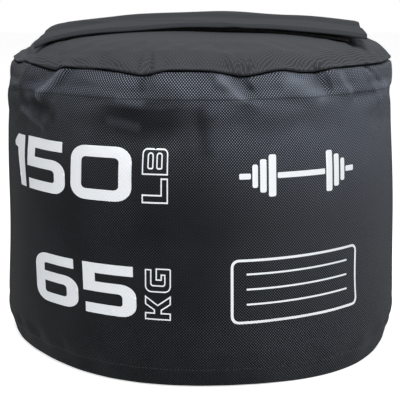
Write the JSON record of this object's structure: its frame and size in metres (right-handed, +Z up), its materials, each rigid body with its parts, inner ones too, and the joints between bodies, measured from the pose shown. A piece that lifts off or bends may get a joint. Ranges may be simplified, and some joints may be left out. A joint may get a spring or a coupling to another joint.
{
  "type": "sandbag trainer",
  "caption": "Round filled sandbag for lifting and loading, with a domed zipped top under a hook-and-loop flap and an inner liner full of sand.",
  "frame": {"origin": "centre of the flat base, on the floor", "axes": "+Z up the drum's axis, -Y towards the front that carries the weight marks, +X to the right seen from the front"},
  "size_m": [0.423, 0.423, 0.3405],
  "materials": {
    "shell_nylon": "black coarse ballistic weave with a dull sheen",
    "flap_nylon": "black coarse ballistic weave, doubled and hemmed",
    "binding_tape": "black ribbed binding tape, matt",
    "hook_and_loop": "black hook and loop, matt pile",
    "zip_tape": "black woven zip tape",
    "zip_teeth": "black moulded acetal",
    "zip_metal": "black painted zinc casting, satin",
    "liner_fabric": "grey coated liner cloth",
    "sand": "dry sand, loose grains"
  },
  "bodies": {
    "bag": {"side_wall": "shell_nylon", "base_panel": "shell_nylon", "top_panel_front": "shell_nylon", "top_panel_rear": "shell_nylon", "top_seam_binding": "binding_tape", "base_seam_binding": "binding_tape", "side_seam_tape": "binding_tape", "zip_end_tab_left": "binding_tape", "zip_end_tab_right": "binding_tape", "zip_tape_front": "zip_tape", "zip_tape_rear": "zip_tape", "zip_teeth_front": "zip_teeth", "zip_teeth_rear": "zip_teeth", "zip_top_stop_front": "zip_metal", "zip_top_stop_rear": "zip_metal", "zip_bottom_stop": "zip_metal", "loop_strip": "hook_and_loop", "liner_bag": "liner_fabric", "liner_neck": "liner_fabric", "neck_strap": "hook_and_loop", "sand_fill": "sand"},
    "flap": {"flap_lining": "flap_nylon", "flap_cover": "flap_nylon", "hook_strip": "hook_and_loop"},
    "slider": {"zip_slider": "zip_metal"},
    "pull": {"zip_pull": "zip_metal"}
  },
  "joints": [
    {"name": "flap_hinge", "type": "hinge", "parent": "bag", "child": "flap", "pos_m": [0, 0.05, 0.33055], "axis": [-1, 0, 0], "range_deg": [0, 165]},
    {"name": "zip_travel", "type": "hinge", "parent": "bag", "child": "slider", "pos_m": [0, 0, -0.6715], "axis": [0, -1, 0], "range_deg": [0, 14.9], "deforming": ["zip_teeth_front", "zip_teeth_rear"]},
    {"name": "pull_hinge", "type": "hinge", "parent": "slider", "child": "pull", "pos_m": [0.13003, 0, 0.32253], "axis": [0, 1, 0], "range_deg": [0, 11]}
  ]
}
